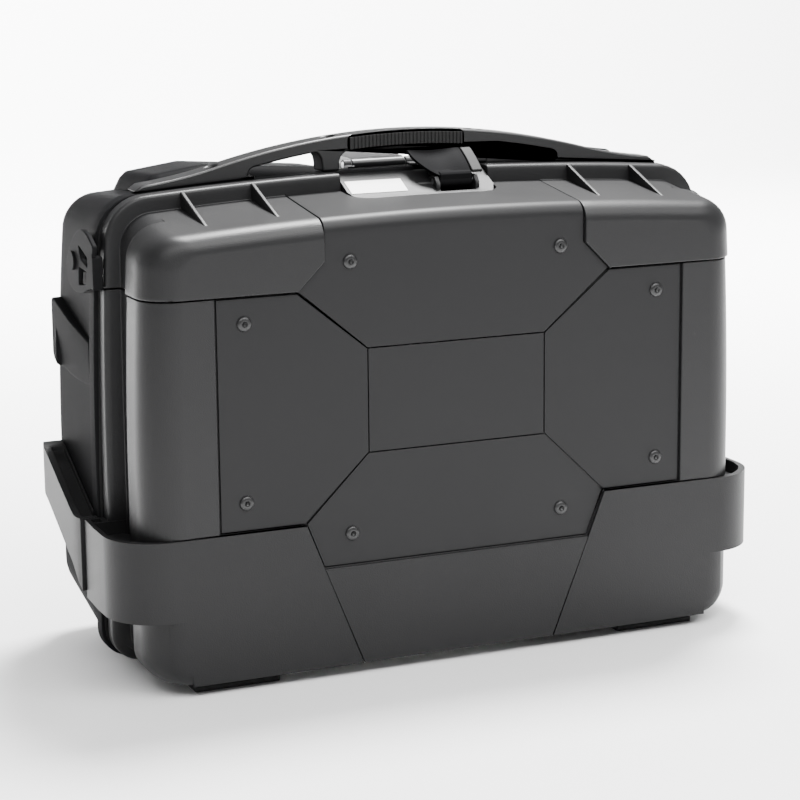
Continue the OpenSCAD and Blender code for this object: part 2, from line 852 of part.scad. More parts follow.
// Steel hook on the back of the lever that reaches over the keeper
module latch_hook() {
    color(steel) side_plate(18, 28, [[81, 360.1], [83, 362.5], [100.5, 362.5], [100.5, 358],
        [98.5, 358], [98, 359.8], [86, 359.8], [79, 357.5]]);
}

base_shell();
base_back();
base_back_top();
base_gasket();
side_bumper_left();
side_bumper_right();
handle();
handle_grip();
handle_screws();
keeper();
key_cylinder();
key_plug();
hook_pins();
side_hook_left();
side_hook_right();
dock_plate();
striker_frame();
dock_screws();
rack_socket_left();
rack_socket_right();
bolt_guide();
dock_bolt();
bolt_spring();
release_bracket();
release_pin();
release_lever();
rear_feet();
rear_pads();
lid_hinge_pins();
lid_shell();
left_panel();
right_panel();
centre_panel();
bottom_panel();
lid_screws();
corner_bumper_left();
corner_bumper_right();
front_skirt();
front_feet();
flap_hinge_brackets();
flap_hinge_pins();
flap_shell();
top_panel();
flap_screws();
flap_hinge_arms();
lock_console();
blank_label();
latch_pin();
latch_lever();
latch_grip();
latch_hook();
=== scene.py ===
import math
import bmesh
import bpy
from mathutils import Matrix, Vector


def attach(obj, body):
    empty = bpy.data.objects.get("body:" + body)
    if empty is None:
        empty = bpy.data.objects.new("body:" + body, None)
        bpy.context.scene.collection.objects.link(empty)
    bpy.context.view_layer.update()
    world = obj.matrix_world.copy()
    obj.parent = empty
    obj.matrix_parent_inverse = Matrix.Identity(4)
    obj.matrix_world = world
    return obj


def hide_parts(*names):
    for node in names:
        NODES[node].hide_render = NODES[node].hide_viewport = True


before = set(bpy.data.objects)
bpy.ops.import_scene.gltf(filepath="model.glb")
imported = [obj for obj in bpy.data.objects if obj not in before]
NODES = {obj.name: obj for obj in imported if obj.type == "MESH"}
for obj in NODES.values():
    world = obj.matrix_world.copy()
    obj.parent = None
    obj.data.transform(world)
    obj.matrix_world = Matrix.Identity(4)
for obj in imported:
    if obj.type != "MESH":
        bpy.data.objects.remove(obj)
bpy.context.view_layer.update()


# ---------------------------------------------------------------- materials

def material(name, color, rough, metallic=0.0, grain=0.0, scale=900.0, vary=0.06, spec=0.5):
    m = bpy.data.materials.new(name)
    m.use_nodes = True
    nt = m.node_tree
    b = nt.nodes["Principled BSDF"]
    b.inputs["Base Color"].default_value = (*color, 1)
    b.inputs["Metallic"].default_value = metallic
    b.inputs["Roughness"].default_value = rough
    b.inputs["Specular IOR Level"].default_value = spec
    co = nt.nodes.new("ShaderNodeTexCoord")
    big = nt.nodes.new("ShaderNodeTexNoise")
    big.inputs["Scale"].default_value = 14.0
    big.inputs["Detail"].default_value = 4.0
    nt.links.new(co.outputs["Object"], big.inputs["Vector"])
    span = nt.nodes.new("ShaderNodeMapRange")
    span.inputs["To Min"].default_value = rough - vary
    span.inputs["To Max"].default_value = rough + vary
    nt.links.new(big.outputs["Fac"], span.inputs["Value"])
    nt.links.new(span.outputs["Result"], b.inputs["Roughness"])
    if grain:
        fine = nt.nodes.new("ShaderNodeTexNoise")
        fine.inputs["Scale"].default_value = scale
        fine.inputs["Detail"].default_value = 2.0
        nt.links.new(co.outputs["Object"], fine.inputs["Vector"])
        bump = nt.nodes.new("ShaderNodeBump")
        bump.inputs["Strength"].default_value = grain
        bump.inputs["Distance"].default_value = 0.0004
        nt.links.new(fine.outputs["Fac"], bump.inputs["Height"])
        nt.links.new(bump.outputs["Normal"], b.inputs["Normal"])
    return m


SHELL = material("shell_plastic", (0.010, 0.010, 0.0105), 0.42, grain=0.3, scale=1100, spec=0.26)
BUMPER = material("bumper_plastic", (0.011, 0.011, 0.0115), 0.46, grain=0.35, scale=900, spec=0.22)
BASE = material("base_plastic", (0.009, 0.009, 0.0095), 0.52, grain=0.35, scale=1000, spec=0.008)
PANEL = material("panel_paint", (0.011, 0.011, 0.0115), 0.45, grain=0.05, scale=1600, spec=0.18)
HANDLE = material("handle_plastic", (0.008, 0.008, 0.0085), 0.34, grain=0.12, scale=1300, spec=0.4)
RUBBER = material("rubber", (0.008, 0.008, 0.008), 0.65, grain=0.3, scale=1500, spec=0.3)
STEEL = material("zinc_steel", (0.45, 0.45, 0.46), 0.33, metallic=1.0, grain=0.05)
SCREW = material("black_screw", (0.012, 0.012, 0.0125), 0.36, metallic=0.2)
BRASS = material("lock_plug", (0.5, 0.45, 0.36), 0.3, metallic=1.0)
LABEL = material("label", (0.8, 0.8, 0.79), 0.4)

for name, o in NODES.items():
    m = SHELL
    if name.endswith("panel"):
        m = PANEL
    elif "bumper" in name or name == "front_skirt":
        m = BUMPER
    elif name in ("base_shell", "base_back", "base_back_top", "bolt_guide", "dock_plate", "side_hook_left",
                  "side_hook_right", "hook_pins"):
        m = BASE
    elif name in ("handle", "latch_lever", "release_lever"):
        m = HANDLE
    elif name in ("lid_screws", "flap_screws"):
        m = SCREW
    elif name in ("handle_grip", "latch_grip", "base_gasket", "rear_pads", "front_feet", "rear_feet"):
        m = RUBBER
    elif name == "key_plug":
        m = BRASS
    elif name == "blank_label":
        m = LABEL
    elif name in ("handle_screws", "keeper", "striker_frame", "dock_screws", "rack_socket_left",
                  "rack_socket_right", "dock_bolt", "bolt_spring", "release_pin", "lid_hinge_pins",
                  "flap_hinge_pins", "latch_pin", "latch_hook", "key_cylinder"):
        m = STEEL
    o.data.materials.clear()
    o.data.materials.append(m)

ROUNDED = {"release_lever": 1.4, "lock_console": 0.6, "front_feet": 0.8, "rear_feet": 0.8, "flap_hinge_arms": 0.9,
           "flap_hinge_brackets": 0.5, "release_bracket": 0.5, "keeper": 0.3, "latch_hook": 0.3, "bolt_guide": 0.5,
           "handle_grip": 0.25, "rear_pads": 0.8, "handle_screws": 0.4,
           "dock_screws": 0.5, "hook_pins": 0.4, "key_cylinder": 0.4, "key_plug": 0.15, "blank_label": 0.05}
for name, width in ROUNDED.items():
    o = NODES[name]
    weld = o.modifiers.new("weld", "WELD")
    weld.merge_threshold = 2e-5
    edge = o.modifiers.new("edges", "BEVEL")
    edge.width, edge.segments, edge.limit_method = width / 1000, 2, "ANGLE"
    edge.angle_limit = math.radians(50)
    edge.use_clamp_overlap = True
    for p in o.data.polygons:
        p.use_smooth = True
    o.modifiers.new("normals", "WEIGHTED_NORMAL").keep_sharp = True

# ---------------------------------------------------------------- geometry helpers
# Sizes below are millimetres: x along the case, d the depth from the front face, z up.

CASE_D = 222.0
CROWN_R2 = 5334.0


def put(name, verts, faces, mat):
    me = bpy.data.meshes.new(name)
    me.from_pydata([(x / 1000, (d - CASE_D / 2) / 1000, z / 1000) for x, d, z in verts], [], faces)
    me.validate()
    bm = bmesh.new()
    bm.from_mesh(me)
    bmesh.ops.remove_doubles(bm, verts=bm.verts, dist=1e-7)
    bmesh.ops.recalc_face_normals(bm, faces=bm.faces)
    bm.to_mesh(me)
    bm.free()
    for p in me.polygons:
        p.use_smooth = True
    o = bpy.data.objects.new(name, me)
    me.materials.append(mat)
    bpy.context.collection.objects.link(o)
    return o


def loft(name, rings, mat, ends=True, loop=False):
    n = len(rings[0])
    verts = [p for r in rings for p in r]
    faces = []
    count = len(rings) if loop else len(rings) - 1
    for i in range(count):
        a, b = i * n, ((i + 1) % len(rings)) * n
        for j in range(n):
            k = (j + 1) % n
            faces.append((a + j, a + k, b + k, b + j))
    if ends:
        faces.append(tuple(range(n)))
        faces.append(tuple(range((len(rings) - 1) * n, len(rings) * n)))
    return put(name, verts, faces, mat)


def prism(name, axis, pts, lo, hi, mat):
    """Extrudes an outline: axis "x" takes (d, z) points, "d" takes (x, z), "z" takes (x, d)."""
    def at(p, v):
        return {"x": (v, p[0], p[1]), "d": (p[0], v, p[1]), "z": (p[0], p[1], v)}[axis]
    rings = [[at(p, lo) for p in pts], [at(p, hi) for p in pts]]
    return loft(name, rings, mat)


def block(name, x0, x1, d0, d1, z0, z1, mat):
    return prism(name, "d", [(x0, z0), (x1, z0), (x1, z1), (x0, z1)], d0, d1, mat)


def rod(name, axis, a, b, r, lo, hi, mat, n=32):
    pts = [(a + r * math.cos(2 * math.pi * i / n), b + r * math.sin(2 * math.pi * i / n)) for i in range(n)]
    return prism(name, axis, pts, lo, hi, mat)


def drop(o):
    me = o.data
    bpy.data.objects.remove(o)
    bpy.data.meshes.remove(me)


def bake(o):
    """Applies the object's modifiers to its mesh."""
    dg = bpy.context.evaluated_depsgraph_get()
    me = bpy.data.meshes.new_from_object(o.evaluated_get(dg))
    old = o.data
    o.modifiers.clear()
    o.data = me
    bpy.data.meshes.remove(old)
    return o


def boolean(o, op, *tools, keep=False):
    for t in tools:
        m = o.modifiers.new("cut", "BOOLEAN")
        m.operation, m.object, m.solver = op, t, "EXACT"
        bake(o)
        if not keep:
            drop(t)
    return o


def cut(o, *tools, keep=False):
    return boolean(o, "DIFFERENCE", *tools, keep=keep)


def join(o, *tools, keep=False):
    return boolean(o, "UNION", *tools, keep=keep)


def common(o, *tools, keep=False):
    return boolean(o, "INTERSECT", *tools, keep=keep)


def soften(o, width=0.7, segments=2, angle=38, clamp=False):
    me = o.data
    bm = bmesh.new()
    bm.from_mesh(me)
    bmesh.ops.remove_doubles(bm, verts=bm.verts, dist=5e-5 if clamp else 2e-6)
    bmesh.ops.dissolve_degenerate(bm, edges=bm.edges, dist=2e-5 if clamp else 1e-6)
    if clamp:
        bmesh.ops.dissolve_limit(bm, angle_limit=math.radians(1.5), verts=bm.verts, edges=bm.edges)
    bm.to_mesh(me)
    bm.free()
    for p in me.polygons:
        p.use_smooth = True
    if width:
        b = o.modifiers.new("edges", "BEVEL")
        b.width, b.segments, b.limit_method = width / 1000, segments, "ANGLE"
        b.angle_limit = math.radians(angle)
        b.use_clamp_overlap = clamp
        b.loop_slide = False
        b.harden_normals = False
        b.miter_outer = "MITER_ARC"
    w = o.modifiers.new("normals", "WEIGHTED_NORMAL")
    w.keep_sharp = True
    w.weight = 60
    return o


def copy(o, name):
    c = o.copy()
    c.data = o.data.copy()
    c.name = name
    bpy.context.collection.objects.link(c)
    return c


def mirrored(o, name):
    c = copy(o, name)
    for v in c.data.vertices:
        v.co.x = -v.co.x
    c.data.flip_normals()
    return c


def place(o, body, slot, *nodes):
    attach(o, body)
    if nodes:
        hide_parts(*nodes)
    return o


def crown(x, zt):
    return zt - x * x / CROWN_R2


def section(w, wt, z0, zt, rt, rb, mid=150.0, n=9):
    """Closed outline in the X-Z plane, mirrored about x = 0."""
    half = [((w - rb) * i / 5, z0) for i in range(5)]
    for i in range(n + 1):
        a = math.radians(-90 + 90 * i / n)
        half.append((w - rb + rb * math.cos(a), z0 + rb + rb * math.sin(a)))
    half += [(w, z0 + rb + (mid - z0 - rb) * i / 5) for i in range(1, 6)]
    zc = crown(wt - rt, zt) - rt
    half += [(w - (w - wt) * (i / 9) ** 2, mid + (zc - mid) * i / 9) for i in range(1, 10)]
    for i in range(1, n + 1):
        a = math.radians(90 * i / n)
        half.append((wt - rt + rt * math.cos(a), zc + rt * math.sin(a)))
    half += [((wt - rt) * (1 - i / 9), crown((wt - rt) * (1 - i / 9), zt)) for i in range(1, 9)]
    half.append((0, zt))
    return half + [(-x, z) for x, z in reversed(half[1:-1])]


def ring(d, *a, **k):
    return [(x, d, z) for x, z in section(*a, **k)]


def quarter(r, t):
    """Inset of a rounded edge of radius r at distance t from the face."""
    return r - math.sqrt(max(r * r - (r - t) ** 2, 0.0)) if t < r else 0.0


# ---------------------------------------------------------------- lid and flap forms

LID_W, FLANGE_W, BASE_W, BASE_FLANGE_W = 241.5, 246.0, 248.0, 250.0


def front_rings(side=0.0, front=0.0):
    """Outer skin of the front half from its face to the flange."""
    rings = []
    for t in (0, 0.12, 0.5, 1.1, 2.0, 3.2, 4.8, 6.8, 9.4, 12.5, 16, 20, 24, 28, 37, 45.5):
        s = quarter(28, t) + side
        top = 339.3 + 0.128 * t - quarter(13, t)
        rings.append(ring(t + front, LID_W - s, LID_W - 5 - s * 0.95, 8 + quarter(9, t) * 0.7,
                          top, 26 - s * 0.4, 22 - s * 0.3))
    for t, s in ((47.5, 0.5), (49, 1.8), (50.2, 4.2), (50.8, 9.0), (60, 9.2), (70, 9.2), (76.6, 9.2)):
        rings.append(ring(t, LID_W - s - side * (s < 5), LID_W - 5 - s * 0.6 - side * (s < 5), 8,
                          339.3 + 0.128 * t, 25, 21))
    for t, i in ((77.3, 5.0), (77.7, 2.2), (78.4, 0.9), (79.6, 0.2), (81, 0), (90.3, 0), (91.1, 0.3), (91.5, 1.1)):
        rings.append(ring(t, FLANGE_W - i, FLANGE_W - 4 - i, 8 + i, 361.5 - i, 35 - i, 22))
    return rings


def front_inside():
    rings = []
    for t, s in ((91.5, 0), (60, 0), (30, 0), (20, 0.5), (14, 3.5), (10, 9), (8.3, 16), (8, 20)):
        rings.append(ring(t, LID_W - 12 - s, LID_W - 13 - s, 11 + s * 0.25,
                          337.2 + 0.09 * t - s * 0.45, 22 - s * 0.4, 18))
    return rings


def cup(name, rings, inside, mat):
    return loft(name, rings + inside, mat)


FIELD = [(-104, 420), (-104, 309), (-125, 288), (-187.3, 287.5), (-187.3, 118), (-120.5, 117.5),
         (-107.5, 84), (107.5, 84), (120.5, 117.5), (187.3, 118), (187.3, 287.5), (125, 288),
         (104, 309), (104, 420)]


def zone(name, g, h, top=420, mat=None):
    pts = [(-300, 288 + g), (-125, 288 + g), (-71, 243.5 + h), (71, 243.5 + h), (125, 288 + g),
           (300, 288 + g), (300, top), (-300, top)]
    return prism(name, "d", pts, -10, 100, mat)


def bay(g, z0=334.5, mat=None):
    pts = [(-60 - g, 95), (-60 - g, 66), (-58.6 - g, 60), (-55 - g, 55.2 - g), (-50 - g, 51.6 - g),
           (-44, 50 - g), (44, 50 - g), (50 + g, 51.6 - g), (55 + g, 55.2 - g), (58.6 + g, 60),
           (60 + g, 66), (60 + g, 95)]
    return prism("bay", "z", pts, z0, 420, mat)


def panel_profile(t):
    """Outer face of the bent top panel, sunk by t: points (d, z, share of the crown)."""
    pts = [(3 + t, 200, 0), (3 + t, 300, 0), (3 + t, 325, 0.6), (3 + t, 330, 1)]
    r = 11 - t
    for i in range(1, 9):
        a = math.radians(180 - 82.7 * i / 8)
        pts.append((14 + r * math.cos(a), 330.1 + r * math.sin(a), 1))
    pts.append((40, 339.3 + 0.128 * 40 - t, 1))
    pts.append((76.6, 339.3 + 0.128 * 76.6 - t, 1))
    return pts


def bent(name, prof, xs, mat):
    return loft(name, [[(x, d, z - c * x * x / CROWN_R2) for d, z, c in prof] for x in xs], mat)

# ---------------------------------------------------------------- lid and flap shells

outer = cup("lid_body", front_rings(side=1.6, front=1.0), front_inside(), SHELL)
cut(outer, prism("field", "d", FIELD, -10, 5.1, None))
cut(outer, zone("above", -0.5, -0.5))
cut(outer, prism("fascia_seat", "d", [(-233, -5), (233, -5), (233, 117.3), (-233, 117.3)], -10, 3.1, None))
for s in (-1, 1):
    cut(outer, block("hinge_slot", s * 160 - 38, s * 160 + 38, 85.5, 98, -2, 12, None))
lid_body = soften(outer, 0.9, 2)

flap = cup("flap_body", front_rings(), front_inside(), SHELL)
common(flap, zone("kept", 0.5, 2.5))
cut(flap, prism("field", "d", FIELD, -10, 5.1, None))
prof = panel_profile(2.1)
xs = [-104 + 208 * i / 16 for i in range(17)]
seat = [(-10, 190, 0)] + prof + [(76.8, prof[-1][1] + 0.02, 1), (76.8, 420, 1), (-10, 420, 1)]
cut(flap, bent("panel_seat", seat, xs, None))
cut(flap, bay(0))
cut(flap, block("raised_edge", -80, 80, -5, 9, 200, 248.5, None))
flap_body = soften(flap, 0.9, 2)

gusset_parts = []
for x in (-183, -129, 129, 183):
    zc = -x * x / CROWN_R2
    g = prism("gusset", "x", [(21, 338.5 + zc), (26, 342.6 + zc), (50, 351 + zc), (70, 358.2 + zc), (77, 360.9 + zc),
                              (79, 360.9 + zc), (79, 340 + zc), (50, 338 + zc)], x - 1.6, x + 1.6, SHELL)
    gusset_parts.append(soften(g, 0.9, 3))

panel_xs = [-124 + 248 * i / 30 for i in range(31)]
outer_prof, inner_prof = panel_profile(0), panel_profile(2.0)
outer_prof[-1] = (76.3, outer_prof[-1][1], 1)
inner_prof[-1] = (76.3, inner_prof[-1][1], 1)
top = bent("top_panel_skin", outer_prof + inner_prof[::-1], panel_xs, PANEL)
common(top, prism("outline", "d", [(-71, 243.9), (71, 243.9), (124, 288.6), (103.3, 309.3), (103.3, 430),
                                   (-103.3, 430), (-103.3, 309.3), (-124, 288.6)], -5, 90, None))
cut(top, bay(0.35))
for x in (-84, 84):
    cut(top, rod("hole", "d", x, 307.3, 3, -5, 12, None))
top_panel = soften(top, 0.5, 2)

# ---------------------------------------------------------------- base shell


def under(d):
    """Height of the base's underside, which rises towards the back."""
    return 10 + 22 * min(max(d - 106, 0) / 89, 1)


def base_rings(grow=0.0, d0=106.0, rear=215.0):
    rings = []
    for d in (d0, 112, 130, 150, 170, 185, 190, 194, 198, 202, 205.5, 208.5, 211, 212.8, 214.2, 214.9, 215):
        d = min(d, rear)
        t = 215 - d
        s = quarter(25, t) - grow
        rings.append(ring(d, BASE_W - s, BASE_W - 7 - s, under(d) + quarter(20, t) - grow,
                          358.2 - 0.07 * (d - 103) - quarter(17, t) + grow, 28 - s * 0.2, 28))
    return rings


flange = [ring(d, BASE_FLANGE_W - i, BASE_FLANGE_W - 5 - i, 8 + i, 361.5 - i, 35 - i, 22)
          for d, i in ((92.5, 1.2), (92.8, 0.5), (93.5, 0), (104.6, 0), (105.5, 0.5), (105.9, 1.4))]
base_in = []
for d, t in ((92.5, 30), (106, 30), (150, 30), (185, 30), (194, 18), (200, 12), (205, 7), (208, 4), (210.5, 1.5), (212, 0)):
    a, b, c = quarter(22, t), quarter(17, t), quarter(14, t)
    base_in.append(ring(d, BASE_W - 3 - a, BASE_W - 10 - a, under(d) + 3 + b,
                        355.2 - 0.07 * max(d - 103, 0) - c, 25 - a * 0.2, 25))
base = loft("base_body", (flange + base_rings())[::-1] + base_in, BASE)


def pillow(name, mat):
    """A raised, softly edged field on the base's top, between x = 42 and 199."""
    def soft(v, a, b, r):
        t = min(v - a, b - v)
        return 0.0 if t <= 0 else (1.0 if t >= r else math.sin(math.pi / 2 * t / r) ** 0.8)
    xs_ = [42, 42.6, 43.6, 45, 47, 50, 56, 75, 100, 125, 150, 165, 176, 184, 190, 194, 197, 198.4, 199]
    ds_ = [114, 114.8, 116, 118, 121, 125, 130, 142, 156, 170, 182, 190, 196, 200, 203, 205, 206]
    def top_at(x, d):
        lift = 360 + (min(x, 150) - 47) * 7.5 / 103 - max(x - 150, 0) * 0.14 - max(d - 128, 0) * 0.05
        f = soft(x, 42, 199, 9) * soft(d, 114, 206, 14)
        return 340 + (lift - 340) * f
    grid = [[(x, d, top_at(x, d)) for d in ds_] for x in xs_]
    rings = []
    verts = [p for r in grid for p in r]
    n = len(ds_)
    faces = [(i * n + j, i * n + j + 1, (i + 1) * n + j + 1, (i + 1) * n + j)
             for i in range(len(xs_) - 1) for j in range(n - 1)]
    k = len(verts)
    rim = [(i, 0) for i in range(len(xs_))] + [(len(xs_) - 1, j) for j in range(1, n)] + \
          [(i, n - 1) for i in range(len(xs_) - 2, -1, -1)] + [(0, j) for j in range(n - 2, 0, -1)]
    verts += [(xs_[i], ds_[j], 338) for i, j in rim]
    for a in range(len(rim)):
        b = (a + 1) % len(rim)
        ia, ib = rim[a][0] * n + rim[a][1], rim[b][0] * n + rim[b][1]
        faces.append((ia, ib, k + b, k + a))
    faces.append(tuple(range(k, k + len(rim))))
    return put(name, verts, faces, mat)


hump_right = pillow("base_hump_right", BASE)
inner_keep = loft("keep", [ring(d, BASE_W - 1.5, BASE_W - 9.5, 40, 356.5 - 0.07 * (d - 103) - (0 if d < 200 else 12), 27, 27)
                           for d in (105, 150, 200, 213)], None)
hump_left = mirrored(hump_right, "base_hump_left")
for h in (hump_right, hump_left):
    cut(h, inner_keep, keep=True)
    soften(h, 0)
drop(inner_keep)

wing_pts = [(107, 244.5), (150, 255.5), (190, 265.8), (195, 265.5), (197, 262), (197.5, 223), (194.5, 218.5),
            (186, 214), (150, 210), (128, 210), (107, 212)]
wing = prism("base_wing_right", "x", wing_pts, 239, 251, BASE)
cut(wing, prism("taper", "z", [(247.6, 90), (248.2, 108), (251, 150), (262, 150), (262, 90)], 150, 300, None))
cut(wing, prism("under", "d", [(253, 205), (253, 246), (251.2, 246), (248.6, 228), (246.8, 205)], 90, 186, None))
soften(wing, 1.6, 3)
wing_left = mirrored(wing, "base_wing_left")

boss = rod("boss", "x", 126, 303, 9, 232, 248, None)
boss_l = mirrored(boss, "boss_l")
join(base, boss, boss_l)
for s in (-1, 1):
    cut(base, block("slot", s * 160 - 38, s * 160 + 38, 85.5, 98.5, -2, 12, None))
base_tub = block("tub", 3, 43, 92.6, 108, 346, 356.5, None)
join(base, base_tub)
cut(base, block("notch", 6, 40, 91, 105, 349.5, 365, None),
    block("opening", -31.6, 31.6, 205, 222, 268.4, 313.6, None),
    rod("bolt_way", "z", 0, 199, 5.5, 325, 370, None),
    rod("key_way", "z", 36.5, 132, 8.05, 335, 372, None))
for s in (-1, 1):
    cut(base, rod("socket_hole", "d", s * 110, 95, 14.05, 205, 222, None))
knuckles = []
for a, b in ((-196, -172), (-148, -124), (124, 148), (172, 196)):
    k = rod("knuckle", "x", 92, 5.5, 4.5, a, b, BASE, 40)
    join(k, block("arm", a, b, 92, 110, 2.5, 7.5, None), block("web", a, b, 98, 110, 5, 11, None))
    cut(k, rod("eye", "x", 92, 5.5, 2.55, a - 1, b + 1, None))
    knuckles.append(soften(k, 0.4, 2))
base_body = soften(base, 0.7, 2)
lid_knuckles = []
for s in (-160, 160):
    k = rod("lid_knuckle", "x", 92, 5.5, 4.5, s - 11.5, s + 11.5, SHELL, 40)
    join(k, block("arm", s - 11.5, s + 11.5, 74, 92, 2.5, 7.5, None), block("web", s - 11.5, s + 11.5, 74, 85, 5, 9, None))
    cut(k, rod("eye", "x", 92, 5.5, 2.55, s - 20, s + 20, None))
    lid_knuckles.append(soften(k, 0.4, 2))

# ---------------------------------------------------------------- bumpers


def arc_pts(cx, cy, r, a0, a1, n):
    return [(cx + r * math.cos(math.radians(a0 + (a1 - a0) * i / n)),
             cy + r * math.sin(math.radians(a0 + (a1 - a0) * i / n))) for i in range(n + 1)]


lid_form = front_rings(side=-0.3, front=-0.3)[:-8] + [ring(d, FLANGE_W + 0.4, FLANGE_W - 3.6, 8, 361.5, 35, 22)
                                                      for d in (77.4, 92.4)]
lid_solid = loft("lid_solid", lid_form, None)
cut(lid_solid, prism("fascia_seat", "d", [(-233, -5), (233, -5), (233, 117.3), (-233, 117.3)], -10, 3.0, None))
cb = prism("corner_bumper_right_skin", "z", [(205, 4.5), (205, 0)] + arc_pts(222.5, 40, 40, -90, 0, 14) +
           [(262.4, 60), (260.8, 91), (240, 91)], 57.5, 117, BUMPER)
plate = prism("plate", "d", [(78.2, 8.5), (108.7, 84), (121.2, 117), (210, 117), (210, 8.5)], 0, 3, None)
corner = loft("corner", front_rings(side=0.02, front=0.0), None)
common(corner, block("corner_box", 209, 240, -1, 3.0, 8.5, 60, None))
join(cb, plate, corner)
cut(cb, lid_solid)
cut(cb, prism("pocket", "z", [(226, 4.4), (233, 5.8), (241, 10.2), (249, 17.4), (255.5, 27.5), (258.6, 40),
                              (258.4, 60), (257.8, 76), (228, 76)], 107, 120, None))
cut(cb, prism("rear_pocket", "z", [(250, 79), (257.6, 79), (257.2, 88.5), (250, 88.5)], 107, 120, None))
corner_right = soften(cb, 1.2, 3, clamp=True)
corner_left = mirrored(corner_right, "corner_bumper_left_skin")

skirt = prism("skirt_skin", "d", [(-77.4, 8.5), (77.4, 8.5), (107.8, 83.4), (-107.8, 83.4)], 0, 3, BUMPER)
soften(skirt, 0.9, 3)

sb = prism("side_bumper_right_skin", "x", [(93.2, 62), (93.2, 117), (106, 117), (120, 123), (160, 142.5), (182, 153),
                                           (190, 155), (198, 152.5), (204, 143), (205, 130), (203, 123.5), (176, 112.5),
                                           (145, 96.5), (112, 79), (98, 66)], 228, 265, BUMPER)
common(sb, prism("plan", "z", [(226, 92), (263.2, 92), (264.6, 100), (265, 112), (265, 181)] +
                 arc_pts(241, 181, 24, 0, 90, 12) + [(226, 205)], 40, 200, None))
base_solid = loft("base_solid", base_rings(0.3, 100.0), None)
cut(sb, base_solid)
cut(sb, prism("groove", "x", [(99, 112.5), (107, 112.5), (160, 138), (176, 145.5), (180, 149), (180, 200), (99, 200)],
              249.5, 259.5, None))
side_right = soften(sb, 1.2, 3, clamp=True)
side_left = mirrored(side_right, "side_bumper_left_skin")

# ---------------------------------------------------------------- handle


def arch(x, down=0.0):
    a = abs(x)
    t = max(a - 150, 0)
    return 389.5 - down - a * a / 1120 + t * t * 0.0023


top_edge = [(-214.5, 354.2)] + [(x, arch(x)) for x in range(-208, 209, 8)] + [(214.5, 354.2)]
foot_edge = [(x, crown(x, 361.5) + 0.15) for x in range(214, -215, -12)]
handle = prism("handle_skin", "d", top_edge + foot_edge, 93, 113.5, HANDLE)
for s in (-1, 1):
    win = [(68, 345), (68, 366), (69, 371), (72, arch(72, 9.4))] + [(x, arch(x, 9.2)) for x in range(78, 119, 8)] + \
          [(123.5, 367), (126.5, 363.6), (125.5, 361.8), (121, 360.2), (116, 345)]
    cut(handle, prism("window", "d", [(s * x, z) for x, z in win], 85, 120, None))
grip_gap = [(-54, 345), (-54, 368), (-52.5, 372.5), (-48, 375.4)] + [(x, arch(x, 12.8)) for x in range(-40, 41, 8)] + \
           [(48, 375.4), (52.5, 372.5), (54, 368), (54, 345)]
cut(handle, prism("grip_window", "d", grip_gap, 85, 120, None))
for x in (-152, -61, 61, 152):
    cut(handle, rod("bore", "z", x, 103, 4.6, arch(x) - 5.5, 400, None, 24))
cut(handle, prism("grip_seat", "d", [(x, arch(x, 2.0)) for x in range(-46, 47, 4)] +
                  [(x, arch(x, 11.0)) for x in range(46, -47, -4)], 85, 95.05, None))
handle = soften(handle, 2.0, 3)

# ---------------------------------------------------------------- screws


def lathe(name, axis_pt, prof, mat, axis="d", n=28, sign=1):
    """Revolves (radius, height) points about an axis through axis_pt."""
    rings = []
    for i in range(n):
        a = 2 * math.pi * i / n
        c, s_ = math.cos(a), math.sin(a)
        if axis == "d":
            rings.append([(axis_pt[0] + r * c, h, axis_pt[1] + r * s_) for r, h in prof])
        elif axis == "z":
            rings.append([(axis_pt[0] + r * c, axis_pt[1] + r * s_, h) for r, h in prof])
        else:
            rings.append([(h, axis_pt[0] + r * c, axis_pt[1] + r * s_) for r, h in prof])
    return loft(name, rings, mat, ends=False, loop=True)


def screw(x, z):
    head = lathe("screw", (x, z), [(0.02, 2.1), (1.9, 2.1), (2.0, 1.1), (2.3, 0.86), (3.6, 1.0), (4.7, 1.45),
                                   (5.3, 2.2), (5.5, 2.95), (5.3, 3.0), (2.9, 3.0), (2.9, 9.5), (0.02, 9.5)], SCREW)
    return soften(head, 0)


lid_screw_parts = [screw(s * x, z) for s in (-1, 1) for x, z in ((165, 268.5), (166, 138.8), (85, 107.5))]
flap_screw_parts = [screw(s * 84, 307.3) for s in (-1, 1)]

# ---------------------------------------------------------------- lock

lever_rings = []
for i in range(13):
    t = i / 12
    z = 356.5 + 18.0 * t
    front = 64.5 + 24.0 * t ** 0.95 - 2.5 * math.sin(math.pi * t)
    xl = 15.5 - 17.0 * math.sin(math.pi / 2 * t) ** 0.8
    xr = 41.2
    thick = 4.6 - 1.6 * t
    row = []
    for j in range(11):
        u = j / 10
        x = xl + (xr - xl) * u
        scoop = 3.4 * math.sin(math.pi * min(u * 1.15, 1)) * (0.35 + 0.65 * t)
        row.append((x, front + scoop, z - scoop * 0.4))
    back = [(x, min(d + thick + 2.2, 91.3), z_ - 0.8) for x, d, z_ in reversed(row)]
    lever_rings.append(row + back)
lever = loft("lever_plate", lever_rings, BASE)
hub = rod("hub", "x", 70, 352, 5, 15, 41.5, None, 40)
neck = prism("neck", "x", [(66, 350), (64.3, 357.2), (66, 359), (73, 359.5), (76, 356)], 15.3, 41.2, None)
join(lever, hub, neck)
cut(lever, rod("pin_way", "x", 70, 352, 2.55, 0, 60, None))
lever = soften(lever, 0.5, 2)

strip = prism("lever_strip", "x", [(65.5, 357.6), (64.8, 359.5), (76, 368), (85.5, 373.7), (88.5, 374.4), (89.6, 373.2),
                                   (84, 366), (77, 357.9)], 41.6, 50.2, RUBBER)
strip = soften(strip, 0.9, 3)

# ---------------------------------------------------------------- side hooks


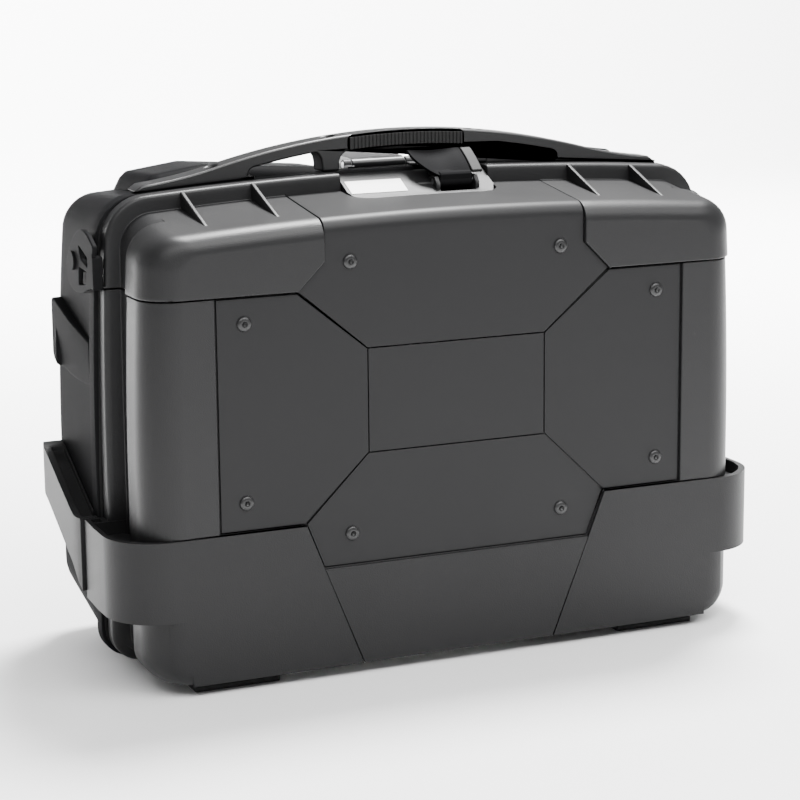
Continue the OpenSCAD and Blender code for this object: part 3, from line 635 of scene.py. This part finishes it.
def rounded(pts, r=2.5, n=4):
    """Rounds every corner of an outline."""
    out = []
    k = len(pts)
    for i in range(k):
        a, b, c = Vector(pts[i - 1]), Vector(pts[i]), Vector(pts[(i + 1) % k])
        u, v = (a - b), (c - b)
        q = min(r, u.length * 0.45, v.length * 0.45)
        p0, p1 = b + u.normalized() * q, b + v.normalized() * q
        for j in range(n + 1):
            t = j / n
            p = p0 * (1 - t) ** 2 + b * 2 * t * (1 - t) + p1 * t * t
            out.append((p.x, p.y))
    return out


hook = prism("side_hook_right_skin", "x", rounded([(79, 287.5), (78, 312), (73.5, 319), (88, 326.5), (98, 329), (110, 328),
             (122, 323), (134, 314), (144, 303), (147, 296), (144, 288), (136, 282.5), (126, 280), (108, 281)], 5), 248.3, 252, BASE)
join(hook, prism("nose", "x", rounded([(76, 287.5), (76, 312), (86, 312), (86, 287.5)], 2), 244.3, 252, None))
cut(hook, rod("eye", "x", 126, 303, 4.05, 240, 260, None),
    prism("tri", "x", rounded([(112, 316), (91, 309.5), (90.5, 302.8), (106, 306.6)], 1.0), 240, 260, None),
    prism("quad", "x", rounded([(92, 298.5), (96, 289.5), (114, 287), (112, 300)], 1.5), 240, 260, None))
hook_right = soften(hook, 1.1, 3)
hook_left = mirrored(hook_right, "side_hook_left_skin")

# ---------------------------------------------------------------- who carries what

place(lid_body, "lid", "shell", "lid_shell")
for k in lid_knuckles:
    place(k, "lid", "shell")
place(flap_body, "flap", "shell", "flap_shell")
for g in gusset_parts:
    place(g, "flap", "shell")
place(top_panel, "flap", "panel", "top_panel")
place(base_body, "case", "shell", "base_shell", "base_back", "base_back_top")
for k in knuckles + [hump_left, hump_right, wing, wing_left]:
    place(k, "case", "shell")
place(corner_left, "lid", "bumper", "corner_bumper_left")
place(corner_right, "lid", "bumper", "corner_bumper_right")
place(side_left, "case", "bumper", "side_bumper_left")
place(side_right, "case", "bumper", "side_bumper_right")
place(skirt, "lid", "bumper", "front_skirt")
place(handle, "case", "shell", "handle")
for i, s_ in enumerate(lid_screw_parts):
    place(s_, "lid", "screw", *(["lid_screws"] if i == 0 else []))
for i, s_ in enumerate(flap_screw_parts):
    place(s_, "flap", "screw", *(["flap_screws"] if i == 0 else []))
place(lever, "latch", "shell", "latch_lever")
place(strip, "latch", "rubber", "latch_grip")
place(hook_left, "hook_left", "shell", "side_hook_left")
place(hook_right, "hook_right", "shell", "side_hook_right")

# ---------------------------------------------------------------- camera, floor, light

cam = bpy.data.objects.new("camera", bpy.data.cameras.new("camera"))
bpy.context.collection.objects.link(cam)
cam.data.lens, cam.data.sensor_width = 108.9, 36.0
cam.data.clip_start, cam.data.clip_end = 0.05, 50
eye, aim = Vector((-0.7291, -1.6866, 0.5681)), Vector((-0.0462, -0.108, 0.2030))
look = (aim - eye).normalized()
right = look.cross(Vector((0, 0, 1))).normalized()
up = right.cross(look)
roll = math.radians(-0.557)
r2 = right * math.cos(roll) + up * math.sin(roll)
u2 = up * math.cos(roll) - right * math.sin(roll)
cam.matrix_world = Matrix((
    (r2.x, u2.x, -look.x, eye.x), (r2.y, u2.y, -look.y, eye.y),
    (r2.z, u2.z, -look.z, eye.z), (0, 0, 0, 1)))
bpy.context.scene.camera = cam

floor_mat = bpy.data.materials.new("studio_white")
floor_mat.use_nodes = True
fb = floor_mat.node_tree.nodes["Principled BSDF"]
fb.inputs["Base Color"].default_value = (0.92, 0.92, 0.92, 1)
fb.inputs["Roughness"].default_value = 0.45


def studio():
    me = bpy.data.meshes.new("studio_floor")
    bm = bmesh.new()
    prof = [(-6, 0), (2.5, 0)]
    for i in range(1, 13):
        a = math.radians(75 * i / 12)
        prof.append((2.5 + 0.8 * math.sin(a), 0.8 - 0.8 * math.cos(a)))
    prev = None
    for y, z in prof:
        cur = [bm.verts.new((-8, y, z - 0.0002)), bm.verts.new((8, y, z - 0.0002))]
        if prev:
            f = bm.faces.new((prev[0], prev[1], cur[1], cur[0]))
            f.smooth = True
        prev = cur
    bm.to_mesh(me)
    bm.free()
    o = bpy.data.objects.new("studio_floor", me)
    me.materials.append(floor_mat)
    bpy.context.collection.objects.link(o)
    return o


studio()


def area(name, loc, target, w, h, power, color=(1, 1, 1)):
    li = bpy.data.lights.new(name, "AREA")
    li.shape, li.size, li.size_y, li.energy, li.color = "RECTANGLE", w, h, power, color
    o = bpy.data.objects.new(name, li)
    bpy.context.collection.objects.link(o)
    o.location = loc
    o.rotation_euler = (Vector(target) - Vector(loc)).to_track_quat("-Z", "Y").to_euler()
    return o


world = bpy.data.worlds.new("world")
bpy.context.scene.world = world
world.use_nodes = True
world.node_tree.nodes["Background"].inputs["Color"].default_value = (1, 1, 1, 1)
world.node_tree.nodes["Background"].inputs["Strength"].default_value = 0.4
area("top_strip", (0.45, -0.35, 1.3), (0.1, -0.05, 0.2), 1.7, 0.28, 13)
area("floor_light", (0.6, 1.7, 1.9), (1.2, 3.3, 0.0), 5.0, 1.6, 760)
area("front_light", (0.2, -1.25, 1.5), (0.2, -1.3, 0.0), 3.2, 1.0, 75)
area("left_box", (-1.5, 0.5, 0.5), (0, 0.1, 0.2), 0.6, 0.8, 0.8)


def spot(name, loc, target, radius, power, angle):
    li = bpy.data.lights.new(name, "SPOT")
    li.energy, li.shadow_soft_size, li.spot_size, li.spot_blend = power, radius, math.radians(angle), 0.6
    o = bpy.data.objects.new(name, li)
    bpy.context.collection.objects.link(o)
    o.location = loc
    o.rotation_euler = (Vector(target) - Vector(loc)).to_track_quat("-Z", "Y").to_euler()


spot("back_spot", (0.75, 0.8, 2.7), (0.25, 0.3, 0.0), 0.45, 1300, 120)
